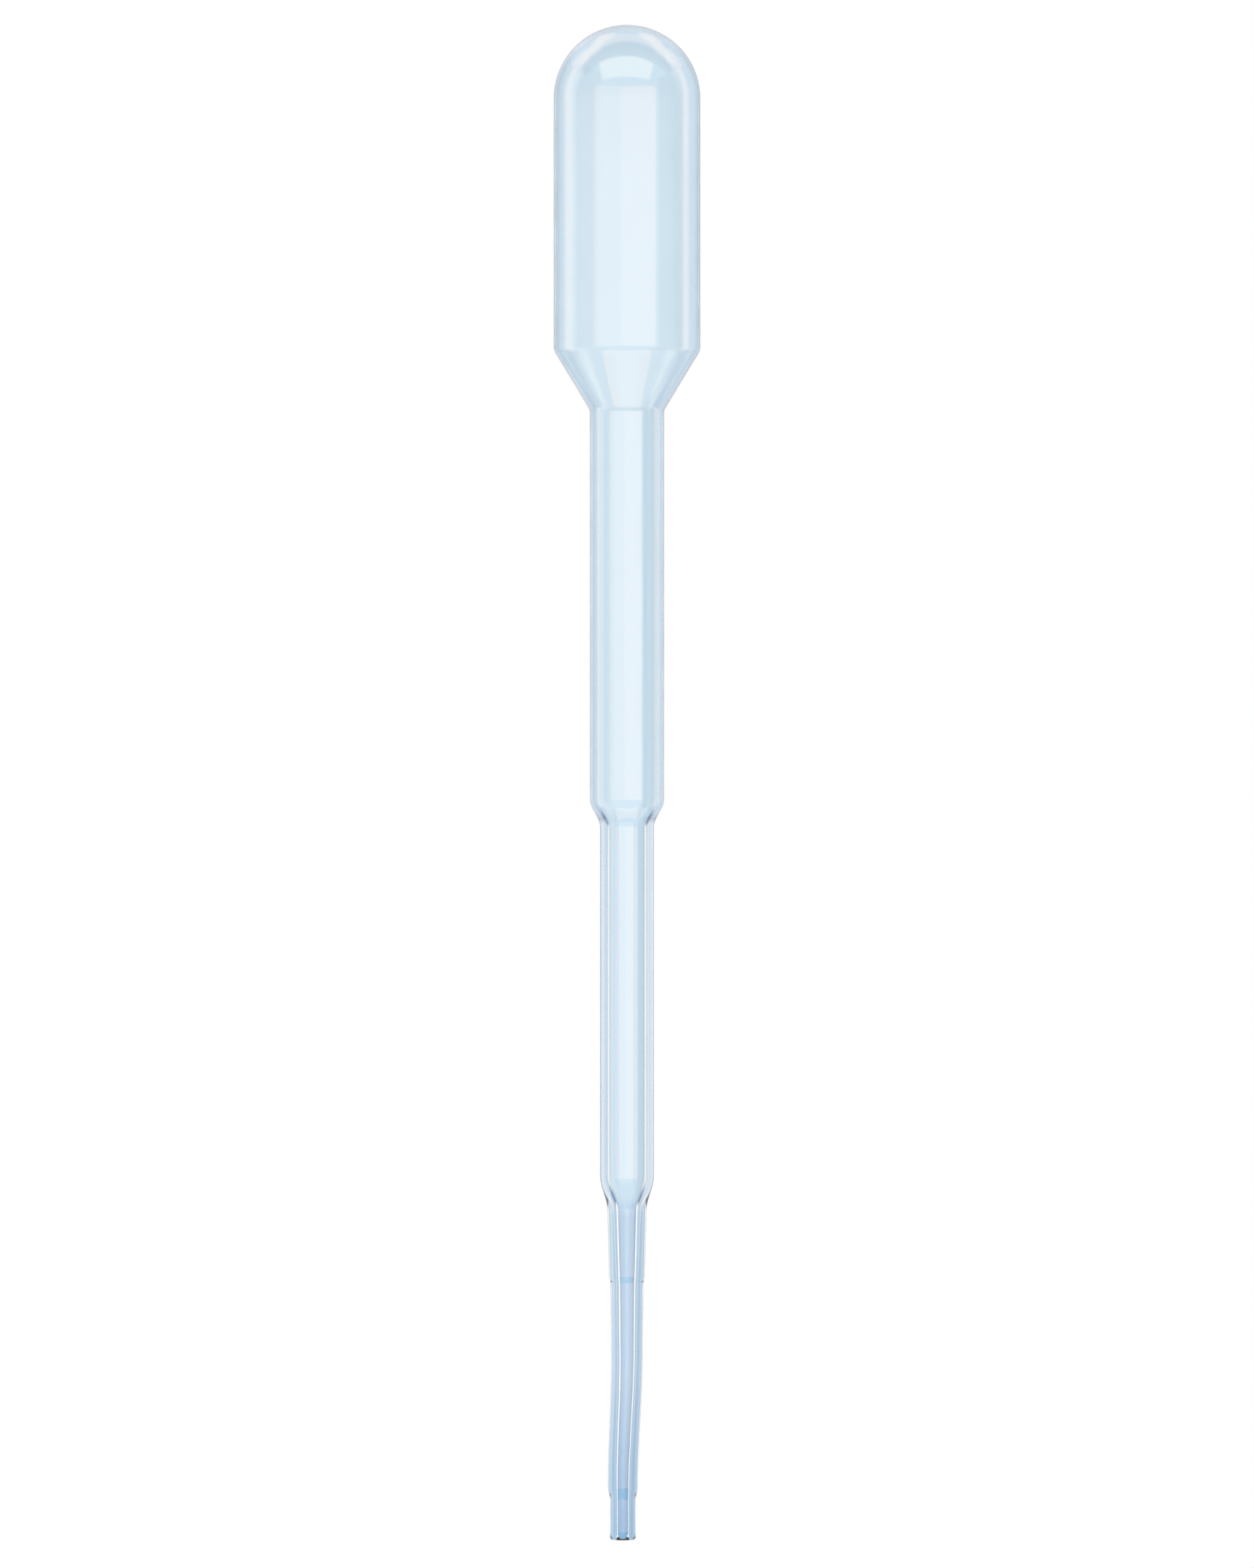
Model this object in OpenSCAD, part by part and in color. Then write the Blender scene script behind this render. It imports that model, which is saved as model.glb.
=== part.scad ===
// Squeeze-bulb transfer pipette with a fine tip, one blow-moulded tube of soft polyethylene.
// The single moulding is divided where its form or its job changes, so that each region is
// a solid of its own and the two squeezed walls of the bulb can move.
// +Z runs from the tip to the bulb. The origin is the centre of the tip's end face.

/* [Bulb] */
// Overall length, from the end of the tip to the top of the bulb
overall_l = 147; // [142:1:160]
// Outside diameter of the bulb
bulb_d = 14.26; // [12.5:0.02:15.5]
// Height of the conical shoulder below the bulb
shoulder_l = 5.8; // [5:0.1:8]
// Outside radius of the turn from the bulb into the shoulder
shoulder_turn_r = 1.4; // [1:0.1:2]
// Outside radius of the turn from the shoulder into the stem
neck_turn_r = 0.8; // [0.4:0.1:1.5]
// Wall thickness of the bulb
bulb_wall = 0.5; // [0.4:0.05:0.8]

/* [Squeezed walls] */
// Width of each wall that the fingers press
squeeze_w = 9; // [7:0.5:10]
// Gap left around each squeezed wall so that it moves freely
squeeze_gap = 0.15; // [0.1:0.05:0.3]
// How far each wall is pressed in, shown by moving both walls
squeeze_shown = 0; // [0:0.1:4]

/* [Stem] */
// Outside diameter of the upper stem
upper_stem_d = 7.24; // [6.4:0.02:8]
// Length of the upper stem, up to where the shoulder begins
upper_stem_l = 37.7; // [30:0.1:40]
// Height of the rounded step between the two stems
upper_step_l = 2.8; // [2:0.1:4]
// Outside diameter of the lower stem
lower_stem_d = 5.24; // [4.8:0.02:5.8]
// Length of the lower stem
lower_stem_l = 33.8; // [28:0.1:36]
// Height of the tapered step between the lower stem and the tip
lower_step_l = 3.4; // [2:0.1:5]
// Wall thickness of the upper stem, which is blown out less than the bulb and so stays thicker
upper_wall = 0.6; // [0.4:0.05:0.7]
// Wall thickness of the lower stem, which is blown out least
lower_wall = 0.8; // [0.5:0.05:0.9]

/* [Tip] */
// Outside diameter at the top of the tip's neck
neck_top_d = 3.78; // [3.6:0.02:4.2]
// Outside diameter at the bottom of the tip's neck
neck_end_d = 3.5; // [3.4:0.02:3.6]
// Length of the neck, where the wall thickens and the bore narrows
neck_l = 7; // [5:0.1:9]
// Outside diameter at the top of the fine tip
tip_top_d = 3.22; // [3.1:0.02:3.3]
// Outside diameter at the bottom of the fine tip
tip_end_d = 2.9; // [2.7:0.02:3.06]
// Length of the fine tip, without its nozzle
tip_l = 21; // [15:0.1:24]
// Outside diameter of the nozzle
nozzle_d = 2.48; // [2:0.02:2.6]
// Length of the nozzle
nozzle_l = 3.9; // [3:0.1:6]
// Diameter of the bore at the top of the neck
neck_bore_d = 1.8; // [1.5:0.02:2.2]
// Diameter of the bore at the top of the fine tip
tip_bore_d = 1.4; // [1.2:0.02:1.6]
// Diameter of the bore through the nozzle
nozzle_bore_d = 1; // [0.8:0.02:1.1]

/* [Hidden] */
$fn = 96;

// Straight pieces in a turn or an S-shaped step
curve_steps = 8;
// Heights of the small steps in the outside of the tip, below the neck and above the nozzle
neck_step_l = 0.7;
nozzle_step_l = 1.2;
// Rounding of the nozzle's outer edge
nozzle_edge = 0.15;
// Extra length of a cutting block past what it cuts
past = 1;

bulb_r = bulb_d / 2;
upper_r = upper_stem_d / 2;
lower_r = lower_stem_d / 2;

// Levels along the axis, from the tip upwards
nozzle_top_z = nozzle_l;
tip_top_z = nozzle_top_z + tip_l;
neck_top_z = tip_top_z + neck_l;
lower_stem_z = neck_top_z + lower_step_l;
upper_step_z = lower_stem_z + lower_stem_l;
upper_stem_z = upper_step_z + upper_step_l;
shoulder_z = upper_stem_z + upper_stem_l;
bulb_z = shoulder_z + shoulder_l;
crown_z = overall_l - bulb_r;

// The shoulder's slope from the axis, and how far its two turns reach past its corners
slope_a = atan((bulb_r - upper_r) / shoulder_l);
top_turn_l = shoulder_turn_r * tan(slope_a / 2);
low_turn_l = neck_turn_r * tan(slope_a / 2);
stem_top_z = shoulder_z - low_turn_l;
wall_low_z = bulb_z + top_turn_l;

// Points of an arc about the centre c, from the angle a0 to a1
function arc(c, r, a0, a1) = [
    for (i = [0 : curve_steps])
        let (a = a0 + (a1 - a0) * i / curve_steps)
            [c[0] + r * cos(a), c[1] + r * sin(a)]
];

// Points of an S-shaped step from radius r0 at height z0 to radius r1 at height z1
function s_step(r0, z0, r1, z1) = [
    for (i = [0 : curve_steps])
        let (t = i / curve_steps)
            [r0 + (r1 - r0) * (1 - cos(180 * t)) / 2, z0 + (z1 - z0) * t]
];

function reversed(points) = [for (i = [len(points) - 1 : -1 : 0]) points[i]];

// The shoulder's outline, moved inwards by one depth at the stem and another at the bulb
function shoulder_line(stem_depth, bulb_depth) = concat(
    reversed(arc([upper_r + neck_turn_r, stem_top_z], neck_turn_r + stem_depth, 180 - slope_a, 180)),
    arc([bulb_r - shoulder_turn_r, wall_low_z], shoulder_turn_r - bulb_depth, -slope_a, 0)
);

module clear_poly() color([0.84, 0.91, 0.96, 0.75]) children();

// A wall turned about the axis, between an outer and an inner line, both drawn upwards
module turned_wall(outer, inner) rotate_extrude() polygon(concat(outer, reversed(inner)));

module straight_tube(r_out, r_in, z0, z1) translate([0, 0, z0]) difference() {
    cylinder(r = r_out, h = z1 - z0);
    translate([0, 0, -past]) cylinder(r = r_in, h = z1 - z0 + 2 * past);
}

// The bulb's straight wall, between two levels
module bulb_tube(z0, z1) straight_tube(bulb_r, bulb_r - bulb_wall, z0, z1);

module bulb_crown() clear_poly() translate([0, 0, crown_z]) rotate_extrude() intersection() {
    difference() {
        circle(r = bulb_r);
        circle(r = bulb_r - bulb_wall);
    }
    square(bulb_r + past);
}

// The fixed wall at one side of the bulb: side is -1 for left and 1 for right
module side_wall(side) clear_poly() intersection() {
    bulb_tube(wall_low_z, crown_z);
    translate([side > 0 ? squeeze_w / 2 : -squeeze_w / 2 - bulb_d, -bulb_r - past, wall_low_z - past])
        cube([bulb_d, bulb_d + 2 * past, crown_z - wall_low_z + 2 * past]);
}

module bulb_left_wall() side_wall(-1);

module bulb_right_wall() side_wall(1);

// A wall that the fingers press: side is -1 for the front and 1 for the rear
module squeezed_wall(side) {
    free_w = squeeze_w - 2 * squeeze_gap;
    low_y = side < 0 ? -bulb_d : 0;
    clear_poly() translate([0, -side * squeeze_shown, 0]) intersection() {
        bulb_tube(wall_low_z + squeeze_gap, crown_z - squeeze_gap);
        translate([-free_w / 2, low_y, wall_low_z - past])
            cube([free_w, bulb_d, crown_z - wall_low_z + 2 * past]);
    }
}

module front_squeeze_wall() squeezed_wall(-1);

module rear_squeeze_wall() squeezed_wall(1);

module bulb_shoulder() clear_poly()
    turned_wall(shoulder_line(0, 0), shoulder_line(upper_wall, bulb_wall));

module upper_stem() clear_poly()
    straight_tube(upper_r, upper_r - upper_wall, upper_stem_z, stem_top_z);

module upper_step() clear_poly() turned_wall(
    s_step(lower_r, upper_step_z, upper_r, upper_stem_z),
    s_step(lower_r - lower_wall, upper_step_z, upper_r - upper_wall, upper_stem_z)
);

module lower_stem() clear_poly()
    straight_tube(lower_r, lower_r - lower_wall, lower_stem_z, upper_step_z);

module lower_step() clear_poly() turned_wall(
    s_step(neck_top_d / 2, neck_top_z, lower_r, lower_stem_z),
    s_step(neck_bore_d / 2, neck_top_z, lower_r - lower_wall, lower_stem_z)
);

module tip_neck() clear_poly() turned_wall(
    concat(
        s_step(tip_top_d / 2, tip_top_z, neck_end_d / 2, tip_top_z + neck_step_l),
        [[neck_top_d / 2, neck_top_z]]
    ),
    [[tip_bore_d / 2, tip_top_z], [neck_bore_d / 2, neck_top_z]]
);

module fine_tip() clear_poly() turned_wall(
    concat(
        s_step(nozzle_d / 2, nozzle_top_z, tip_end_d / 2, nozzle_top_z + nozzle_step_l),
        [[tip_top_d / 2, tip_top_z]]
    ),
    [[nozzle_bore_d / 2, nozzle_top_z], [tip_bore_d / 2, tip_top_z]]
);

module tip_nozzle() clear_poly() difference() {
    rotate_extrude() polygon([
        [0, 0],
        [nozzle_d / 2 - nozzle_edge, 0],
        [nozzle_d / 2, nozzle_edge],
        [nozzle_d / 2, nozzle_top_z],
        [0, nozzle_top_z]
    ]);
    translate([0, 0, -past]) cylinder(d = nozzle_bore_d, h = nozzle_l + 2 * past);
}

bulb_crown();
bulb_left_wall();
bulb_right_wall();
front_squeeze_wall();
rear_squeeze_wall();
bulb_shoulder();
upper_stem();
upper_step();
lower_stem();
lower_step();
tip_neck();
fine_tip();
tip_nozzle();
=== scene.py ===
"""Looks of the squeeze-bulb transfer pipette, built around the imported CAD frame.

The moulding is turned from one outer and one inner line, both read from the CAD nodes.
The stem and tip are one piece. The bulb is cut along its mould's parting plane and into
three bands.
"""

import math

import bpy
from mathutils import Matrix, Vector


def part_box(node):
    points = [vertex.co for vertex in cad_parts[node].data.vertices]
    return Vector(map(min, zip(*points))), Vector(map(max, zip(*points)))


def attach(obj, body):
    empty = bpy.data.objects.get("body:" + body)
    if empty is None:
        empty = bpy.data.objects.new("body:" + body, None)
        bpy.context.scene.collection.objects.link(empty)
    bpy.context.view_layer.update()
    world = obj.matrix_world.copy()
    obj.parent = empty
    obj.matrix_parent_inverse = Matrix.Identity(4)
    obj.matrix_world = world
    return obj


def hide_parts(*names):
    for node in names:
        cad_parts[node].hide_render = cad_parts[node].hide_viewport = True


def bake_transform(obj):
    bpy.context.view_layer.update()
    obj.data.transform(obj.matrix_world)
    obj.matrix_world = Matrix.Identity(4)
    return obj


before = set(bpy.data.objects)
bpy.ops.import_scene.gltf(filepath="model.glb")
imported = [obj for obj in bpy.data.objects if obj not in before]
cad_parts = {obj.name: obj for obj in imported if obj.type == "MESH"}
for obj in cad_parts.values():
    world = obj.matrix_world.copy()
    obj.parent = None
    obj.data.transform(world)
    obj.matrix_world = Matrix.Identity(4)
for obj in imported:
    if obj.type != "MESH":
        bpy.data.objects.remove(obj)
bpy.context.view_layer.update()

MM = 0.001
TINY = 1e-7

# ---- The moulding's outer and inner lines, read from the CAD nodes --------------------------

TURNED_NODES = [
    "tip_nozzle", "fine_tip", "tip_neck", "lower_step",
    "lower_stem", "upper_step", "upper_stem", "bulb_shoulder",
]
DOME_STEPS = 40
LONGEST_STEP = 0.8 * MM
# A face whose normal lies this close to the axis only closes a node's end
END_NORMAL = 0.99


def node_lines(node):
    """A turned CAD node's outer and inner lines, as (radius, height) points from the bottom."""
    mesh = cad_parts[node].data
    lines = {True: {}, False: {}}
    for face in mesh.polygons:
        if abs(face.normal.z) > END_NORMAL:
            continue
        outward = face.normal.x * face.center.x + face.normal.y * face.center.y > 0
        for i in face.vertices:
            p = mesh.vertices[i].co
            lines[outward][round(p.z / MM, 3)] = math.hypot(p.x, p.y)
    return [[(r, z * MM) for z, r in sorted(lines[side].items())] for side in (True, False)]


def dome(r, z):
    """A quarter circle from the bulb's straight wall to the axis."""
    angles = [math.pi / 2 * i / DOME_STEPS for i in range(DOME_STEPS)]
    return [(r * math.cos(a), z + r * math.sin(a)) for a in angles] + [(0.0, z + r)]


def finer(line):
    """The same line with no step longer than LONGEST_STEP."""
    out = [line[0]]
    for (r0, z0), (r1, z1) in zip(line, line[1:]):
        length = math.hypot(r1 - r0, z1 - z0)
        if length < TINY:
            continue
        n = max(1, math.ceil(length / LONGEST_STEP))
        out += [(r0 + (r1 - r0) * i / n, z0 + (z1 - z0) * i / n) for i in range(1, n + 1)]
    return out


def whole_lines():
    """The outer and the inner line of the whole moulding, from the tip to the top of the bulb."""
    outer, inner = [], []
    for node in TURNED_NODES:
        node_outer, node_inner = node_lines(node)
        outer += node_outer
        inner += node_inner
    crown_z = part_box("bulb_crown")[0].z
    return outer + dome(outer[-1][0], crown_z), inner + dome(inner[-1][0], crown_z)


def cut(line, low, high):
    """The stretch of a rising line between two heights, with points exactly on both."""
    out = [line[0]] if low <= line[0][1] <= high else []
    for (r0, z0), (r1, z1) in zip(line, line[1:]):
        for level in (low, high):
            if z0 < level < z1:
                out.append((r0 + (r1 - r0) * (level - z0) / (z1 - z0), level))
        if low <= z1 <= high:
            out.append((r1, z1))
    out.sort(key=lambda p: p[1])
    return finer([out[0]] + [p for q, p in zip(out, out[1:]) if p[1] - q[1] > TINY])


# ---- Mesh of one sector of the wall ----------------------------------------------------------

# Columns of faces in a full turn
SPOKES = 128
# Material slots of the wall's surface and of the cuts between neighbouring pieces
SKIN, CUT = 0, 1

# The soft drawn tip drifts sideways between two heights, by a little less than half a millimetre
DRIFT_FROM, DRIFT_TO = 18 * MM, 5 * MM
DRIFT = -0.4 * MM


def tip_bow(z):
    """How far the tip has drifted sideways at one height."""
    t = min(1.0, max(0.0, (DRIFT_FROM - z) / (DRIFT_FROM - DRIFT_TO)))
    return DRIFT * t * t * (3 - 2 * t)


def wall_piece(name, outer, inner, first=0.0, turn=2 * math.pi):
    """A closed wall between two lines, turned from the angle first through the angle turn.

    Faces in the CUT slot only close the cuts between neighbouring pieces.
    """
    full = turn > 2 * math.pi - TINY
    columns = round(SPOKES * turn / (2 * math.pi))
    angles = [first + turn * i / columns for i in range(columns + (0 if full else 1))]
    vertices, faces, slots = [], [], []

    def skin(line):
        """Rows of vertex numbers, one row a point of the line; a point on the axis is one vertex."""
        rows = []
        for r, z in line:
            start = len(vertices)
            if r < TINY:
                vertices.append((tip_bow(z), 0.0, z))
                rows.append([start] * len(angles))
                continue
            vertices.extend((r * math.cos(a) + tip_bow(z), r * math.sin(a), z) for a in angles)
            rows.append(list(range(start, start + len(angles))))
        return rows

    def strip(low, high, slot):
        """A row of faces between two rows of vertices, with one corner left out at the axis."""
        for i in range(len(low) if full else len(low) - 1):
            j = (i + 1) % len(low)
            loop = [low[i], low[j], high[j], high[i]]
            loop = [v for k, v in enumerate(loop) if v != loop[k - 1]]
            if len(loop) > 2:
                faces.append(loop)
                slots.append(slot)

    def ribbon(near, far):
        """Triangles between two open rows of vertices that may differ in number."""
        i = j = 0
        while i + j < len(near) + len(far) - 2:
            if (i + 1) * len(far) <= (j + 1) * len(near) and i < len(near) - 1 or j == len(far) - 1:
                faces.append([near[i], near[i + 1], far[j]])
                i += 1
            else:
                faces.append([near[i], far[j + 1], far[j]])
                j += 1
            slots.append(CUT)

    out_rows, in_rows = skin(outer), skin(inner)
    for low, high in zip(out_rows, out_rows[1:]):
        strip(low, high, SKIN)
    for low, high in zip(in_rows, in_rows[1:]):
        strip(high, low, SKIN)
    strip(in_rows[0], out_rows[0], SKIN if outer[0][1] < TINY else CUT)
    if outer[-1][0] > TINY:
        strip(out_rows[-1], in_rows[-1], CUT)
    if not full:
        ribbon([row[0] for row in out_rows], [row[0] for row in in_rows])
        ribbon([row[-1] for row in in_rows], [row[-1] for row in out_rows])

    mesh = bpy.data.meshes.new(name)
    mesh.from_pydata(vertices, [], faces)
    mesh.materials.append(PLASTIC)
    mesh.materials.append(OPEN_CUT)
    sharp = set()
    for polygon, slot in zip(mesh.polygons, slots):
        polygon.material_index = slot
        polygon.use_smooth = slot == SKIN
        if slot == CUT:
            sharp.update(polygon.edge_keys)
    for edge in mesh.edges:
        edge.use_edge_sharp = edge.key in sharp
    obj = bpy.data.objects.new(name, mesh)
    bpy.context.scene.collection.objects.link(obj)
    return obj


# ---- Materials -------------------------------------------------------------------------------

# Nodes whose main input is a vector
WITH_VECTOR = ("ShaderNodeTexNoise", "ShaderNodeMapping")

WALL_TINT = (0.88, 0.96, 0.99)
NECK_TINT = (0.73, 0.855, 0.94)
TIP_TINT = (0.56, 0.74, 0.89)
# Height above the tip's end where the tint is at its palest
TINT_TOP = 36 * MM
# How fine the patches of gloss and the draw lines are, per metre, and how the lines stretch upwards
PATCH_SCALE = 260
LINE_SCALE = 500
LINE_STRETCH = 0.05
LINE_RELIEF = 0.02 * MM


def new_material(name):
    """A node material, its tree and its Principled node."""
    material = bpy.data.materials.new(name)
    material.use_nodes = True
    return material, material.node_tree, material.node_tree.nodes["Principled BSDF"]


def linked(tree, kind, source, target, **settings):
    """A new node of one kind, fed from one socket and feeding another, where those are given."""
    node = tree.nodes.new(kind)
    for name, value in settings.items():
        node.inputs[name.replace("_", " ")].default_value = value
    if source is not None:
        tree.links.new(source, node.inputs["Vector" if kind in WITH_VECTOR else 0])
    if target is not None:
        tree.links.new(node.outputs[0], target)
    return node


def colour_stops(node, *stops):
    """Sets a colour ramp from (position, colour) pairs."""
    elements = node.color_ramp.elements
    while len(elements) < len(stops):
        elements.new(0.5)
    for element, (position, colour) in zip(elements, stops):
        element.position = position
        element.color = (*colour, 1)


def polyethylene():
    """Soft clear plastic with a cool tint, deeper where the drawn tip is nearly solid.

    Faint draw lines run along the tube, and the gloss varies a little in soft patches.
    """
    material, tree, shader = new_material("polyethylene")
    shader.inputs["IOR"].default_value = 1.51
    shader.inputs["Transmission Weight"].default_value = 1.0
    place = tree.nodes.new("ShaderNodeTexCoord").outputs["Object"]

    split = linked(tree, "ShaderNodeSeparateXYZ", place, None)
    height = linked(tree, "ShaderNodeMapRange", split.outputs["Z"], None, From_Max=TINT_TOP)
    tint = linked(tree, "ShaderNodeValToRGB", height.outputs[0], shader.inputs["Base Color"])
    colour_stops(tint, (0.0, TIP_TINT), (0.45, NECK_TINT), (0.87, NECK_TINT), (0.92, WALL_TINT))

    patches = linked(tree, "ShaderNodeTexNoise", place, None, Scale=PATCH_SCALE, Detail=2)
    linked(
        tree, "ShaderNodeMapRange", patches.outputs["Fac"], shader.inputs["Roughness"],
        From_Min=0.3, From_Max=0.7, To_Min=0.06, To_Max=0.12,
    )

    along = linked(tree, "ShaderNodeMapping", place, None)
    along.inputs["Scale"].default_value = (1, 1, LINE_STRETCH)
    lines = linked(tree, "ShaderNodeTexNoise", along.outputs[0], None, Scale=LINE_SCALE, Detail=1)
    relief = linked(
        tree, "ShaderNodeBump", None, shader.inputs["Normal"], Strength=0.15, Distance=LINE_RELIEF,
    )
    tree.links.new(lines.outputs["Fac"], relief.inputs["Height"])
    return material


def open_cut():
    """The joining faces between neighbouring pieces of the one moulding, which don't show."""
    material, _, shader = new_material("open_cut")
    shader.inputs["Alpha"].default_value = 0.0
    return material


def plain_glow(name, strength):
    """An even light of its own, for the stage and the light cards."""
    material, tree, shader = new_material(name)
    tree.nodes.remove(shader)
    glow = tree.nodes.new("ShaderNodeEmission")
    glow.inputs["Strength"].default_value = strength
    tree.links.new(glow.outputs[0], tree.nodes["Material Output"].inputs["Surface"])
    return material


PLASTIC, OPEN_CUT = polyethylene(), open_cut()

# ---- The pieces ------------------------------------------------------------------------------

outer_line, inner_line = whole_lines()
stem_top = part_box("upper_stem")[1].z
wall_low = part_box("bulb_shoulder")[1].z
crown_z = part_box("bulb_crown")[0].z
bulb_r, _, top_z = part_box("bulb_crown")[1]

# Height of the bulb's middle band, which stands for its side walls and its squeezed walls
PRESSED = 8 * MM
middle_z = (wall_low + crown_z) / 2
band_low = middle_z - PRESSED / 2
band_high = middle_z + PRESSED / 2

stem = wall_piece("stem_and_tip", cut(outer_line, 0, stem_top), cut(inner_line, 0, stem_top))
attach(stem, "tube")
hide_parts(*TURNED_NODES[:-1])


def bulb_band(side, band, low, high, stands_for):
    """One band of one half of the bulb, turned through half a turn between two heights, in place
    of the CAD nodes that it stands for, which are hidden."""
    first = math.pi if side == "front" else 0.0
    piece = wall_piece(
        f"bulb_{side}_{band}", cut(outer_line, low, high), cut(inner_line, low, high),
        first=first, turn=math.pi,
    )
    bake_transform(piece)
    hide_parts(*stands_for)


for side in ("front", "rear"):
    bulb_band(side, "base", stem_top, band_low, ["bulb_shoulder"])
    bulb_band(
        side, "middle", band_low, band_high,
        ["bulb_left_wall", "bulb_right_wall", f"{side}_squeeze_wall"],
    )
    bulb_band(side, "top", band_high, top_z, ["bulb_crown"])

# ---- Stage, light and camera -----------------------------------------------------------------

# The pipette's middle, which the lights, the cards and the camera face
CENTRE = Vector((0, 0, 73.33 * MM))
# The floor lies a little below the tip, since the pipette is held upright and can't stand
FLOOR_Z = -4 * MM
# Radius and sides of the round stage, the size of its curved edges and the height of its roof
STAGE_R = 4.0
STAGE_SIDES = 64
STAGE_CURVE = 1.0
ROOF_Z = 6.0
# The cards stand just behind the softboxes
LIGHT_DISTANCE = 1.5
CARD_DISTANCE = 1.53
# The room's even light
ROOM = (0.6, 0.7, 0.8)


def camera_only(obj):
    """Shows an object to the camera and to nothing else."""
    obj.visible_diffuse = obj.visible_glossy = obj.visible_transmission = obj.visible_shadow = False


def stage():
    """A round white sweep: a floor that curves up into a wall, and a roof."""
    line = [
        (0.0, FLOOR_Z), (STAGE_R - STAGE_CURVE, FLOOR_Z),
        (STAGE_R - 0.3 * STAGE_CURVE, 0.25 * STAGE_CURVE), (STAGE_R, STAGE_CURVE),
        (STAGE_R, ROOF_Z - STAGE_CURVE), (STAGE_R - STAGE_CURVE, ROOF_Z), (0.0, ROOF_Z),
    ]
    turns = [2 * math.pi * i / STAGE_SIDES for i in range(STAGE_SIDES)]
    vertices = [(r * math.cos(a), r * math.sin(a), z) for r, z in line for a in turns]
    faces = []
    for k in range(len(line) - 1):
        for i in range(STAGE_SIDES):
            j = (i + 1) % STAGE_SIDES
            low, high = k * STAGE_SIDES, (k + 1) * STAGE_SIDES
            faces.append((low + i, low + j, high + j, high + i))
    mesh = bpy.data.meshes.new("stage")
    mesh.from_pydata(vertices, [], faces)
    mesh.materials.append(plain_glow("stage_white", 1.0))
    obj = bpy.data.objects.new("stage", mesh)
    bpy.context.scene.collection.objects.link(obj)
    camera_only(obj)


def facing(azimuths, elevations, distance):
    """Where a flat rectangle stands, how it turns to face the pipette's middle, and its size.

    It fills a range of directions: azimuth 0 is straight behind the pipette and 90 is to its
    right, both in degrees.
    """
    azimuth, elevation = (math.radians(sum(ends) / 2) for ends in (azimuths, elevations))
    away = Vector((
        math.sin(azimuth) * math.cos(elevation),
        math.cos(azimuth) * math.cos(elevation),
        math.sin(elevation),
    ))
    width, height = (
        2 * distance * math.tan(math.radians(abs(ends[1] - ends[0]) / 2))
        for ends in (azimuths, elevations)
    )
    return CENTRE + away * distance, (-away).to_track_quat("-Z", "Y").to_euler(), width, height


def softbox(name, azimuths, elevations, colour, strength, seen_through=True):
    """A rectangular light, as bright as its strength times its colour, added to the room's.

    One that isn't seen through the clear wall still shows as a reflection on it.
    """
    place, turn, width, height = facing(azimuths, elevations, LIGHT_DISTANCE)
    light = bpy.data.lights.new(name, "AREA")
    light.shape = "RECTANGLE"
    light.size, light.size_y = width, height
    light.energy = strength * math.pi * width * height
    light.color = colour
    obj = bpy.data.objects.new(name, light)
    obj.location, obj.rotation_euler = place, turn
    obj.visible_camera = False
    obj.visible_transmission = seen_through
    bpy.context.scene.collection.objects.link(obj)


def black_card(name, azimuths, elevations):
    """A matt black card that hides the room's light from one side of the pipette."""
    place, turn, width, height = facing(azimuths, elevations, CARD_DISTANCE)
    mesh = bpy.data.meshes.new(name)
    corners = [(x * width / 2, y * height / 2, 0) for x, y in ((-1, -1), (1, -1), (1, 1), (-1, 1))]
    mesh.from_pydata(corners, [], [(0, 1, 2, 3)])
    mesh.materials.append(plain_glow(name, 0.0))
    obj = bpy.data.objects.new(name + "_card", mesh)
    obj.location, obj.rotation_euler = place, turn
    obj.visible_camera = obj.visible_shadow = False
    bpy.context.scene.collection.objects.link(obj)


stage()
world = bpy.data.worlds.new("soft_room")
bpy.context.scene.world = world
world.use_nodes = True
background = world.node_tree.nodes["Background"]
background.inputs["Color"].default_value = (*ROOM, 1)
background.inputs["Strength"].default_value = 1.0

# Colours of the lights, each named for how it looks beside the cool room
COOL = (0.8, 0.9, 1.0)
BLUE = (0.5, 0.65, 1.0)
PALE_WARM = (1.0, 0.75, 0.6)
WARM = (1.0, 0.55, 0.25)
AMBER = (1.0, 0.5, 0.2)
GOLD = (1.0, 0.7, 0.35)

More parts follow.
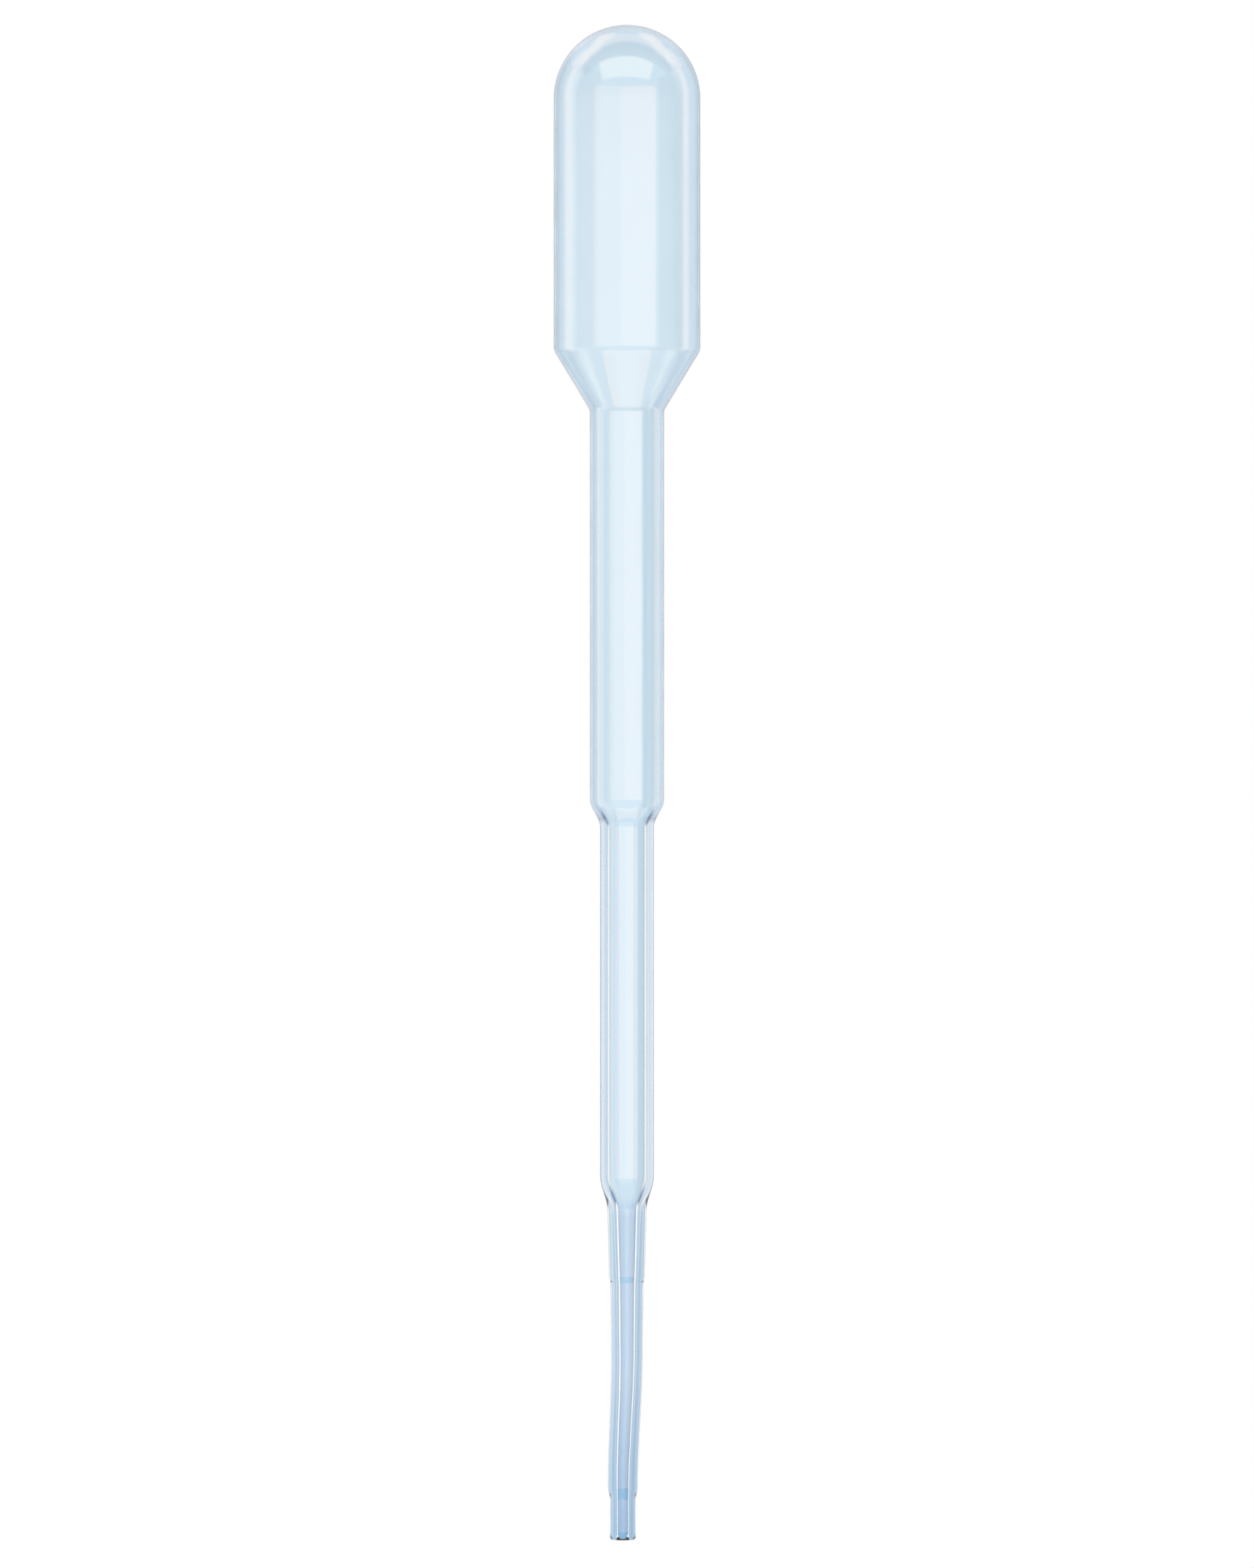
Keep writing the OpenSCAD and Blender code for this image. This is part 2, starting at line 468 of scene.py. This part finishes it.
# Behind the pipette: a narrow bright panel, and a dim wide one round it
black_card("back", (-6, 6), (-6, 6))
softbox("back_panel", (-6, 6), (-6, 6), COOL, 0.85)
softbox("back_wide", (-24, 9), (-30, 30), PALE_WARM, 0.25)
softbox("back_wide_right", (9, 24), (-30, 30), PALE_WARM, 0.15)
softbox("right_back", (35, 60), (-30, 30), PALE_WARM, 0.15)
softbox("high_back", (-40, 40), (30, 60), PALE_WARM, 0.15)

# A ring of light to both sides and overhead, which gives the bulb and its dome their bright rim
softbox("left_strip", (-80, -62), (-30, 30), WARM, 1.2)
softbox("right_strip", (62, 78), (-30, 30), WARM, 1.2)
softbox("left_high", (-78, -52), (30, 48), WARM, 1.0)
softbox("right_high", (52, 78), (30, 48), WARM, 1.0)
softbox("left_upper", (-70, -30), (48, 63), WARM, 0.9)
softbox("right_upper", (30, 70), (48, 63), WARM, 0.9)
softbox("top", (-50, 50), (63, 79), WARM, 0.9)

# In front, seen only as reflections on the wall
softbox("front_main", (134, 189), (-12, 19), AMBER, 3.0, seen_through=False)
softbox("front_left", (189, 233), (-12, 19), AMBER, 2.0, seen_through=False)
softbox("overhead", (146, 218), (33, 68), GOLD, 3.5, seen_through=False)
softbox("front_floor", (150, 210), (-75, -50), AMBER, 2.5, seen_through=False)

# Cards that keep the right side and the top dark, and a blue light low down behind
black_card("dark_right", (80, 128), (-40, 30))
black_card("dark_top", (-60, 60), (83, 111))
black_card("dark_floor", (-60, 60), (-75, -35))
softbox("floor_back", (-60, 60), (-75, -35), BLUE, 0.45)

# Height of the view at the pipette, how far off the camera stands, and its film height in mm
VIEW_HEIGHT = 152.17 * MM
DISTANCE = 1.2
SENSOR = 24
camera_data = bpy.data.cameras.new("camera")
camera_data.sensor_fit = "VERTICAL"
camera_data.sensor_height = SENSOR
camera_data.lens = SENSOR * DISTANCE / VIEW_HEIGHT
camera_data.clip_start = 0.05
camera = bpy.data.objects.new("camera", camera_data)
camera.location = CENTRE - Vector((0, DISTANCE, 0))
camera.rotation_euler = (math.pi / 2, 0, 0)
bpy.context.scene.collection.objects.link(camera)
bpy.context.scene.camera = camera

bpy.context.scene.view_settings.view_transform = "Standard"
